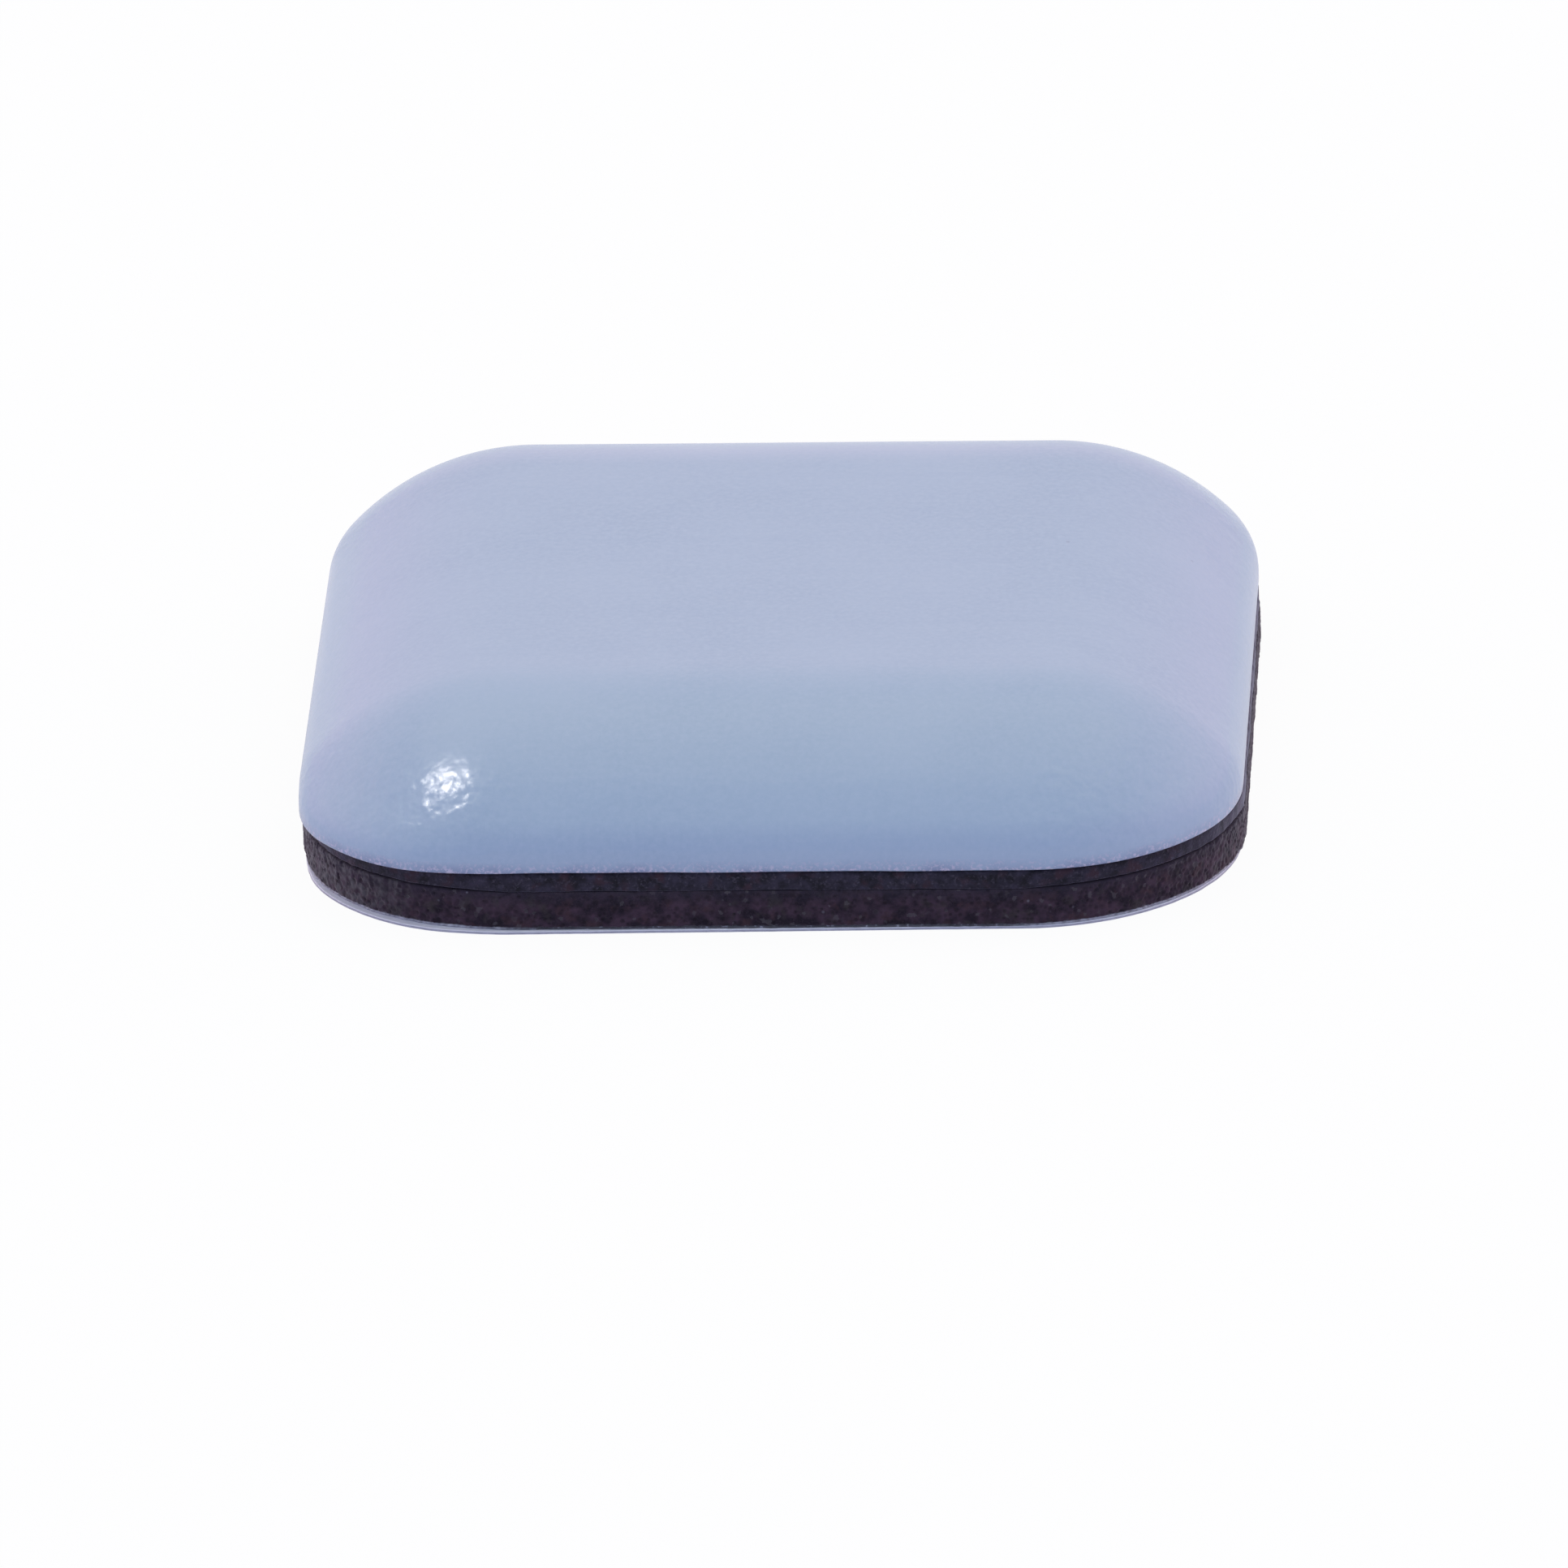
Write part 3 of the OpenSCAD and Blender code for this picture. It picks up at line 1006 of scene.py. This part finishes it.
# Light of the studio by direction: an even, cool part, and lobes of a direction, a sharpness and a colour
DOME = (0.28, 0.41, 0.70)
BROAD = 2.0
NARROW = 10.0
FROM_LEFT = (-1.0, 0.0, 0.15)
FROM_RIGHT = (1.0, 0.0, 0.15)
FROM_BEHIND = (0.0, 1.0, 0.15)
FROM_ABOVE = (0.0, 0.0, 1.0)
LEFT_PANEL = (-0.85, 0.25, 0.4)
RIGHT_PANEL = (0.85, 0.25, 0.4)
LOBES = (
    (FROM_LEFT, BROAD, (0.73, 0.42, 0.44)),
    (FROM_RIGHT, BROAD, (0.84, 0.49, 0.46)),
    (FROM_BEHIND, BROAD, (0.72, 0.41, 0.31)),
    (FROM_ABOVE, BROAD, (0.34, 0.51, 0.21)),
    (LEFT_PANEL, NARROW, (0.85, 0.57, 0.37)),
    (RIGHT_PANEL, NARROW, (0.64, 0.42, 0.31)),
)

SOFTBOX_PLACE = (0.0, 0.06, 0.30)
SOFTBOX_AIM = (0.0, 0.0, 0.0)
SOFTBOX_SIZE = (0.36, 0.26)
SOFTBOX_COLOUR = (1.0, 0.744, 0.402)
SOFTBOX_RADIANCE = 0.737

# The small lamp whose mirror image is the glint on the cap's front left corner, and the weaker disk round it
GLINT_POINT = Vector((-8.21, -11.12, 3.81)) * MM
GLINT_WAY = Vector((-0.385, -0.112, 0.916))
GLINT_DISTANCE = 0.3
GLINT_RADIUS = 0.018
GLINT_RADIANCE = 50.0
VEIL_RADIUS = 0.042
VEIL_RADIANCE = 9.0
GLINT_COLOUR = (1.0, 0.95, 0.90)


def mix_shaders(tree, factor, first, second):
    made = add(tree, "ShaderNodeMixShader")
    for place, value in zip(made.inputs, (factor, first, second)):
        tree.links.new(value, place)
    return made.outputs["Shader"]


def floor_material():
    material, tree, _ = new_material("pale_floor")
    tree.nodes.clear()
    output = add(tree, "ShaderNodeOutputMaterial")
    paint = add(tree, "ShaderNodeBsdfDiffuse", Color=FLOOR_COLOUR)
    glow = add(tree, "ShaderNodeEmission", Color=WHITE, Strength=1.0)
    path = add(tree, "ShaderNodeLightPath").outputs
    seen = ramp(tree, path["Is Camera Ray"], 0.0, FLOOR_SEEN_SHARE)
    mirrored = ramp(tree, path["Is Glossy Ray"], 0.0, FLOOR_MIRRORED_SHARE)
    white = calculate(tree, "MAXIMUM", seen, mirrored)
    mixed = mix_shaders(tree, white, paint.outputs["BSDF"], glow.outputs["Emission"])
    tree.links.new(mixed, output.inputs["Surface"])
    return material


def make_floor():
    mesh = bpy.data.meshes.new("floor")
    outline = [(x * FLOOR_HALF, y * FLOOR_HALF, 0.0) for x, y in ((-1, -1), (1, -1), (1, 1), (-1, 1))]
    mesh.from_pydata(outline, [], [(0, 1, 2, 3)])
    floor = bpy.data.objects.new("floor", mesh)
    floor.location.z = -FLOOR_DROP
    bpy.context.scene.collection.objects.link(floor)
    dress(floor, floor_material())


def studio_colour(tree):
    """Colour of the studio's light by direction."""
    way = add(tree, "ShaderNodeTexCoord").outputs["Generated"]
    colour = DOME
    for direction, sharpness, tint in LOBES:
        facing = ramp(tree, reach_along(tree, way, direction), 0.0, 1.0)
        strength = calculate(tree, "POWER", facing, sharpness)
        colour = blend_colours(tree, strength, colour, tint, how="ADD")
    return colour


def make_world():
    world = bpy.data.worlds.new("studio")
    bpy.context.scene.world = world
    world.use_nodes = True
    tree = world.node_tree
    tree.nodes.clear()
    output = add(tree, "ShaderNodeOutputWorld")
    studio = add(tree, "ShaderNodeBackground", Strength=1.0)
    tree.links.new(studio_colour(tree), studio.inputs["Color"])
    white = add(tree, "ShaderNodeBackground", Color=WHITE, Strength=1.0)
    seen = add(tree, "ShaderNodeLightPath").outputs["Is Camera Ray"]
    mixed = mix_shaders(tree, seen, studio.outputs["Background"], white.outputs["Background"])
    tree.links.new(mixed, output.inputs["Surface"])


def area_lamp(name, place, aim, width, depth, radiance, colour):
    data = bpy.data.lights.new(name, "AREA")
    data.shape = "RECTANGLE"
    data.size = width
    data.size_y = depth
    data.energy = radiance * math.pi * width * depth
    data.color = colour
    lamp = bpy.data.objects.new(name, data)
    way = Vector(aim) - Vector(place)
    lamp.matrix_world = Matrix.Translation(place) @ way.to_track_quat("-Z", "Y").to_matrix().to_4x4()
    bpy.context.scene.collection.objects.link(lamp)
    return lamp


def make_lamps():
    area_lamp("softbox_top", SOFTBOX_PLACE, SOFTBOX_AIM, *SOFTBOX_SIZE, SOFTBOX_RADIANCE, SOFTBOX_COLOUR)
    place = GLINT_POINT + GLINT_WAY * GLINT_DISTANCE
    disks = (("glint", GLINT_RADIUS, GLINT_RADIANCE), ("veil", VEIL_RADIUS, VEIL_RADIANCE))
    for name, radius, radiance in disks:
        lamp = area_lamp(name, place, GLINT_POINT, 2 * radius, 2 * radius, radiance, GLINT_COLOUR)
        lamp.data.shape = "DISK"
        lamp.visible_diffuse = False


make_camera()
dress(make_cap(), cap_material())
dress(make_core(), rubber_material())
dress(make_foam(), foam_material())
dress(make_film(), film_material())
dress(make_liner(), liner_material())
dress_node("cap_bond", glue_material("contact_glue", CONTACT_GLUE, PALE_CONTACT_GLUE, grain_size=0.8 * MM))
dress_node("pad_bond", glue_material("black_glue", BLACK_GLUE, GREY_GLUE, grain_size=0.2 * MM))
make_floor()
make_world()
make_lamps()
bpy.context.scene.view_settings.view_transform = "Standard"
